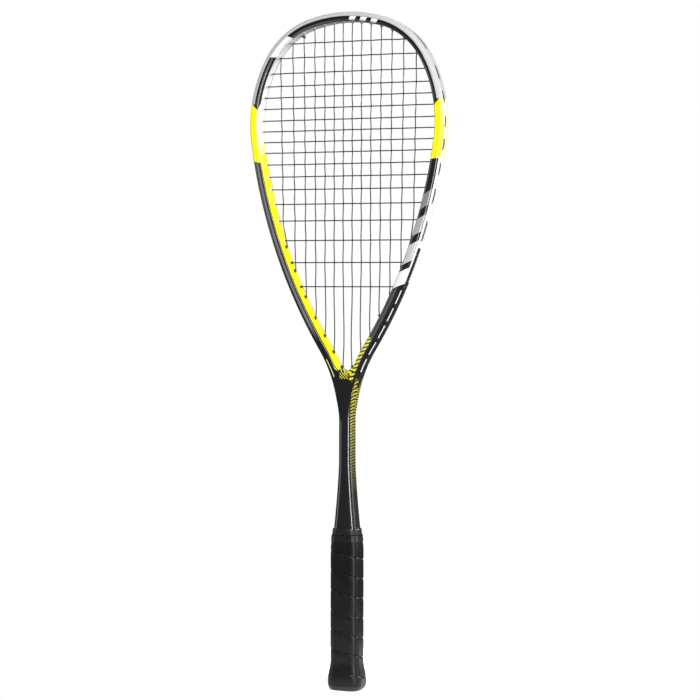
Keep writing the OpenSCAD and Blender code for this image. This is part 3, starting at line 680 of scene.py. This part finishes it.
def paint_sides(g, p, colour):
    """The white outer side with dashes below it, the yellow patches, and the inner wall."""
    outer = g.mul(g.step(p.around, 18.4, 0.2), g.band(p.slant, 205, 340, 0.3))
    dash = g.below(g.math("MODULO", g.add(p.far, -349), 19.6), 14.5, 0.3)
    dash = g.mul(g.mul(dash, g.band(p.far, 349, 446, 0.3)), g.band(p.around, 19.3, 22.0, 0.15))
    colour = g.mix(g.math("MAXIMUM", outer, g.mul(dash, p.right)), colour, WHITE)
    patch_low = g.step(g.add(p.far, g.mul(p.off, 0.9)), 150)
    patch_high = g.below(g.add(p.far, g.mul(p.off, 0.35)), 210.7)
    gold = g.mul(g.band(p.off, -5.2, -1.2, 1.6), p.right)
    colour = g.mix(g.mul(patch_low, patch_high), colour, g.mix(g.mul(gold, 0.8), YELLOW, GOLD))
    edge = g.add(6.4, g.mul(g.mul(p.left, g.step(p.far, 152, 4)), 2.6))
    wall = g.mul(g.below(p.around, edge), g.below(p.far, 447, 1))
    return g.mix(wall, colour, g.mix(g.fade(p.far, 183, 208), WALL_WHITE, YELLOW))


def paint_material():
    g = Graph("frame_paint", Coat_Weight=0.5, Coat_Roughness=0.06, Specular_IOR_Level=0.45)
    place = PaintPlace(g)
    colour = BLACK
    for layer in (paint_highlights_and_shade, paint_panels, paint_throat, paint_sides):
        colour = layer(g, place, colour)
    wear, fine = g.noise(90, 5, 0.6), g.noise(1400, 3, 0.6)
    rough = g.add(g.fade(wear, 0.35, 0.7, 0.12, 0.24), g.mul(fine, 0.05))
    bump = g.bump(g.noise(260, 2, 0.5), 0.00002, 0.2)
    return g.finish(colour, rough, g.bump(fine, 0.000004, 0.15, bump))


def moulded_material(name, colour, rough, second=None, scuff=0.3, grain=900):
    """Moulded plastic: fine spark-eroded grain, with slightly paler scuffs along the run of the piece."""
    g = Graph(name, Specular_IOR_Level=0.45)
    large, fine = g.noise(60, 4, 0.6), g.noise(grain, 3, 0.6)
    marks = g.mul(g.step(g.noise(140, 5, 0.7, (1, 1, 0.25)), 0.62, 0.05), scuff)
    tone = g.mix(g.fade(large, 0.3, 0.7, 0.0, 0.35), colour, second or tuple(c * 0.86 for c in colour))
    tone = g.mix(marks, tone, tuple(min(1, c * 1.25 + 0.01) for c in colour))
    return g.finish(tone, g.fade(fine, 0.3, 0.7, rough - 0.06, rough + 0.1), g.bump(fine, 0.00003, 0.5))


def string_material():
    g = Graph("string_coating", Coat_Weight=0.2, Coat_Roughness=0.2, Specular_IOR_Level=0.4)
    run = g.attribute("along")
    wave = g.node("ShaderNodeTexNoise", {"W": g.mul(run, 0.4), "Scale": 1.0, "Detail": 3.0},
                  noise_dimensions="1D").outputs[0]
    twist = g.math("PINGPONG", run, 0.35)
    colour = g.mix(wave, (0.01, 0.01, 0.011), (0.035, 0.035, 0.038))
    return g.finish(colour, g.fade(wave, 0.3, 0.7, 0.24, 0.36), g.bump(twist, 0.00002, 0.3))


def grip_material():
    g = Graph("grip_wrap", Sheen_Weight=0.0, Specular_IOR_Level=0.2)
    cells = g.node("ShaderNodeTexVoronoi", {"Vector": g.place(), "Scale": 620.0, "Randomness": 0.25}).outputs[0]
    pits = g.below(cells, 0.28, 0.1)
    leather = g.noise(1500, 4, 0.65)
    cloudy = g.noise(70, 4, 0.6)
    seam = g.attribute("seam")
    colour = g.mix(cloudy, (0.003, 0.003, 0.004), (0.008, 0.008, 0.009))
    colour = g.mix(g.mul(pits, 0.7), colour, (0.004, 0.004, 0.004))
    colour = g.mix(g.mul(seam, 0.9), colour, (0.002, 0.002, 0.002))
    rough = g.add(g.fade(cloudy, 0.3, 0.7, 0.3, 0.42), g.mul(pits, 0.2))
    bump = g.bump(leather, 0.00005, 0.5)
    bump = g.bump(g.mul(pits, -1.0), 0.0001, 0.7, bump)
    return g.finish(colour, rough, bump)


def steel_material():
    g = Graph("staple_steel", Metallic=1.0)
    brush = g.noise(600, 4, 0.6, (1, 1, 8))
    return g.finish(g.mix(brush, (0.5, 0.5, 0.52), (0.66, 0.66, 0.68)), g.fade(brush, 0.3, 0.7, 0.25, 0.4),
                    g.bump(brush, 0.00002, 0.4))


def foam_material(name, colour):
    g = Graph(name, Specular_IOR_Level=0.3)
    cells = g.node("ShaderNodeTexVoronoi", {"Vector": g.place(), "Scale": 1300.0}).outputs[0]
    tone = g.mix(g.noise(80, 3), colour, tuple(c * 0.8 for c in colour))
    return g.finish(g.mix(g.below(cells, 0.15, 0.1), tone, tuple(c * 0.5 for c in colour)),
                    g.fade(cells, 0.0, 0.6, 0.6, 0.8), g.bump(cells, 0.00008, 0.6))


def backdrop_material():
    g = Graph("studio_white", Roughness=0.9, Specular_IOR_Level=0.0, Emission_Strength=0.6)
    g.shader.inputs["Emission Color"].default_value = (1, 1, 1, 1)
    tone = g.mix(g.noise(3, 2), (0.93, 0.93, 0.93), (0.95, 0.95, 0.95))
    return g.finish(tone)


# ---- Grip: a wrapped strip whose edges run round the handle in a spiral ----
GRIP_TOP = HANDLE_LEN - 2
# The wrap stays a hair inside the CAD's, and its seams are the parts deeper than this.
SHY, SEAM_DEEP = 0.01, -0.5
GRIP_LINING = 0.12
WRAP_PITCH, WRAP_MARK = 20, 143.5
# One turn of the wrap: mm above its lower edge, and how far the surface stands from the plain sleeve.
SEAM_PROFILE = [(0, -0.6), (0.35, -0.6), (0.6, -0.12), (0.6, 0), (1.2, 0), (2.6, 0), (5, 0), (7.5, 0), (10, 0),
                (12.5, 0), (15, 0), (16.5, -0.03), (17.8, -0.1), (18.8, -0.22), (19.4, -0.36), (19.7, -0.6)]


def butt_section(z, extra, **kw):
    grow = swell(z) - foot_round(z) - taper(z) + extra
    return rounded(PALLET_W / 2 + grow, PALLET_D / 2 + grow, PALLET_R + grow * 0.6, **kw)


def build_grip():
    low, high = LIP_H + 0.1, GRIP_TOP
    columns = len(butt_section(high, GRIP_T))
    lengths = [0]
    ring = butt_section(high, GRIP_T)
    for j in range(columns):
        lengths.append(lengths[-1] + math.dist(ring[j], ring[(j + 1) % columns]))
    share = [v / lengths[-1] for v in lengths]
    verts, seam, faces = [], [], []
    rows = 0
    for k in range(-10, 4):
        for mm, depth in SEAM_PROFILE:
            base = WRAP_MARK + WRAP_PITCH * k + mm
            if base - WRAP_PITCH > high or base < low:
                continue
            for j in range(columns + 1):
                z = min(max(base - WRAP_PITCH * share[j], low), high)
                x, y = butt_section(z, GRIP_T - SHY + depth)[j % columns]
                verts.append((x, y, z))
                seam.append(1.0 if depth < SEAM_DEEP else 0.0)
            rows += 1
    faces = grid_faces(rows, columns + 1)
    for z in (high, low):
        start = len(verts)
        for extra in (GRIP_T - 0.6, GRIP_LINING):
            for x, y in butt_section(z, extra):
                verts.append((x, y, z))
                seam.append(0.0)
        faces += grid_faces(2, columns, start, closed=True)
    return mesh("grip_wrap", verts, faces, 40, {"seam": seam})


# ---- Pieces ----
tube_piece = build_frame()
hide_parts("frame")
tube_piece.data.materials.append(paint_material())

string_piece = tube("string_bed", smooth_line(route(), 1.6), STRING_R, 8, ["string"])
string_piece.data.materials.append(string_material())

grip_piece = build_grip()
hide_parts("grip")
grip_piece.data.materials.append(grip_material())


def dress(name, material):
    """Gives a CAD node its material and smooth shading below sharp edges."""
    piece = nodes[name]
    piece.data.materials.clear()
    piece.data.materials.append(material)
    for p in piece.data.polygons:
        p.use_smooth = True
    piece.data.set_sharp_from_angle(angle=math.radians(30))


bumper_look = moulded_material("bumper_nylon", (0.42, 0.43, 0.44), 0.42)
strip_look = moulded_material("strip_nylon", (0.82, 0.82, 0.82), 0.4)
dark_strip_look = moulded_material("dark_strip_nylon", (0.03, 0.03, 0.032), 0.38)
cap_look = moulded_material("cap_elastomer", (0.006, 0.006, 0.007), 0.45, scuff=0.02)
dress("bumper_guard", bumper_look)
for side in ("left", "right"):
    dress("side_strip_" + side, strip_look)
    dress("throat_strip_" + side, dark_strip_look)
dress("string_knots", string_piece.data.materials[0])
dress("end_plug", foam_material("plug_foam", (0.6, 0.58, 0.5)))
dress("handle_pallet", foam_material("handle_foam", (0.45, 0.38, 0.26)))
dress("butt_cap", cap_look)
dress("butt_badge", moulded_material("badge_satin", (0.4, 0.41, 0.43), 0.35))
steel = steel_material()
dress("cap_staples", steel)
dress("grip_staple", steel)
dress("collar", moulded_material("collar_rubber", (0.006, 0.006, 0.007), 0.38, scuff=0.02))
dress("finishing_tape", moulded_material("tape_vinyl", (0.007, 0.007, 0.008), 0.32, scuff=0.02, grain=500))


# ---- Studio ----
def build_studio():
    """A pale round floor below a white surround."""
    radius, sides = 0.25, 96
    verts = [(radius * math.cos(2 * math.pi * k / sides), radius * math.sin(2 * math.pi * k / sides), 0)
             for k in range(sides)]
    data = bpy.data.meshes.new("studio_floor")
    data.from_pydata(verts, [], [list(range(sides))])
    piece = bpy.data.objects.new("studio_floor", data)
    bpy.context.scene.collection.objects.link(piece)
    data.materials.append(backdrop_material())


def build_world(seen, cast):
    """White behind the racket, dimmer where it only lights and is mirrored."""
    world = bpy.data.worlds.new("studio_world")
    world.use_nodes = True
    tree = world.node_tree
    background = tree.nodes["Background"]
    background.inputs[0].default_value = (1, 1, 1, 1)
    path = tree.nodes.new("ShaderNodeLightPath")
    choose = tree.nodes.new("ShaderNodeMapRange")
    choose.inputs[3].default_value, choose.inputs[4].default_value = cast, seen
    tree.links.new(path.outputs["Is Camera Ray"], choose.inputs[0])
    tree.links.new(choose.outputs[0], background.inputs[1])
    bpy.context.scene.world = world


def area_light(name, place, target, size, power, size_y=None):
    data = bpy.data.lights.new(name, "AREA")
    data.shape, data.size, data.size_y, data.energy = "RECTANGLE", size, size_y or size, power
    light = bpy.data.objects.new(name, data)
    light.location = place
    light.rotation_mode = "QUATERNION"
    light.rotation_quaternion = (Vector(target) - Vector(place)).to_track_quat("-Z", "Y")
    bpy.context.scene.collection.objects.link(light)


build_studio()
build_world(1.0, 0.1)
MIDDLE = (0, 0, 0.4)
area_light("key_back_right", (1.5, 1.3, 0.9), MIDDLE, 0.3, 30)
area_light("front_top", (0.9, -2.2, 2.2), MIDDLE, 1.2, 75)
area_light("strip_right", (1.6, -1.5, 0.6), MIDDLE, 0.3, 42, 2.0)
area_light("side_right", (2.2, 0.3, 0.8), MIDDLE, 0.6, 14, 2.0)
area_light("fill_back", (-0.9, 2.2, 1.8), MIDDLE, 1.2, 20)
area_light("fill_left", (-2.0, -0.6, 1.0), MIDDLE, 1.0, 12, 2.0)
bpy.context.scene.view_settings.view_transform = "Standard"

# ---- Camera, fitted to the photograph's viewing angle ----
SENSOR, LENS = 36.0, 109.12
YAW, PITCH, ROLL = 0.382464, -0.029529, 0.001647
camera_data = bpy.data.cameras.new("camera")
camera_data.sensor_width, camera_data.lens = SENSOR, LENS
camera_data.clip_start, camera_data.clip_end = 0.05, 50
camera = bpy.data.objects.new("camera", camera_data)
ahead = Vector((-math.sin(YAW) * math.cos(PITCH), math.cos(YAW) * math.cos(PITCH), math.sin(PITCH)))
flat_right = Vector((math.cos(YAW), math.sin(YAW), 0))
level_up = flat_right.cross(ahead)
right_axis = flat_right * math.cos(ROLL) + level_up * math.sin(ROLL)
up_axis = right_axis.cross(ahead)
camera.matrix_world = Matrix.Translation((0.80438, -1.99274, 0.40885)) @ Matrix(
    (right_axis, up_axis, -ahead)).transposed().to_4x4()
bpy.context.scene.collection.objects.link(camera)
bpy.context.scene.camera = camera

bpy.context.view_layer.update()
